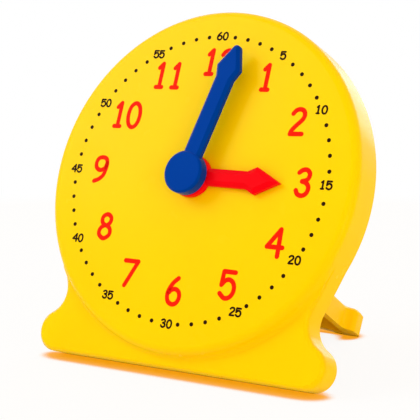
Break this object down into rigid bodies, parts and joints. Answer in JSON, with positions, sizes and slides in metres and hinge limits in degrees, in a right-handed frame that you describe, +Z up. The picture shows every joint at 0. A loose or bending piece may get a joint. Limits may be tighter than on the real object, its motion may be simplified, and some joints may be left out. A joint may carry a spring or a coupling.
{
  "type": "geared teaching clock",
  "caption": "Teaching clock with a round dial, arrow hands geared together, a lobed base and a fold-out rear stand.",
  "frame": {"origin": "middle of the bottom of the clock as it stands with its stand open", "axes": "+X to the right of the dial as it is read, +Y away from the reader towards the stand, +Z up; the dial leans back 19.4 degrees from upright and faces -Y"},
  "size_m": [0.1018, 0.082, 0.1029],
  "materials": {
    "body_yellow": "smooth glossy moulded plastic",
    "minute_blue": "smooth glossy moulded plastic",
    "hour_red": "smooth glossy moulded plastic",
    "gear_white": "natural acetal",
    "washer_fibre": "red-brown fibre",
    "steel": "bright zinc-plated steel"
  },
  "bodies": {
    "case": {"front_shell": "body_yellow", "back_cover": "body_yellow", "stand_hinge_pin": "steel", "idler_stud": "steel", "gear_bridge": "steel", "bridge_screw_1": "steel", "bridge_screw_2": "steel", "cover_screw_1": "steel", "cover_screw_2": "steel", "cover_screw_3": "steel", "cover_screw_4": "steel"},
    "minute_train": {"minute_hand": "minute_blue", "minute_arbor": "steel", "minute_pinion": "gear_white", "arbor_clip": "steel", "thrust_washer": "steel", "friction_washer": "washer_fibre"},
    "idler_train": {"idler_gear": "gear_white"},
    "hour_train": {"hour_hand": "hour_red", "hour_wheel": "gear_white"},
    "stand": {"stand": "body_yellow"}
  },
  "joints": [
    {"name": "minute_turn", "type": "hinge", "parent": "case", "child": "minute_train", "pos_m": [0, -0.02478, 0.05558], "axis": [0, 0.9432, -0.3322], "continuous": true},
    {"name": "idler_turn", "type": "hinge", "parent": "case", "child": "idler_train", "pos_m": [0, -0.01648, 0.07916], "axis": [0, 0.9432, -0.3322], "continuous": true},
    {"name": "hour_turn", "type": "hinge", "parent": "case", "child": "hour_train", "pos_m": [0, -0.02478, 0.05558], "axis": [0, 0.9432, -0.3322], "continuous": true},
    {"name": "stand_fold", "type": "hinge", "parent": "case", "child": "stand", "pos_m": [0, -0.01526, 0.03431], "axis": [1, 0, 0], "range_deg": [0, 100.6]}
  ],
  "couplings": [
    {"joint": "idler_turn", "follows": "minute_turn", "ratio": -0.33333},
    {"joint": "hour_turn", "follows": "minute_turn", "ratio": 0.083333}
  ]
}
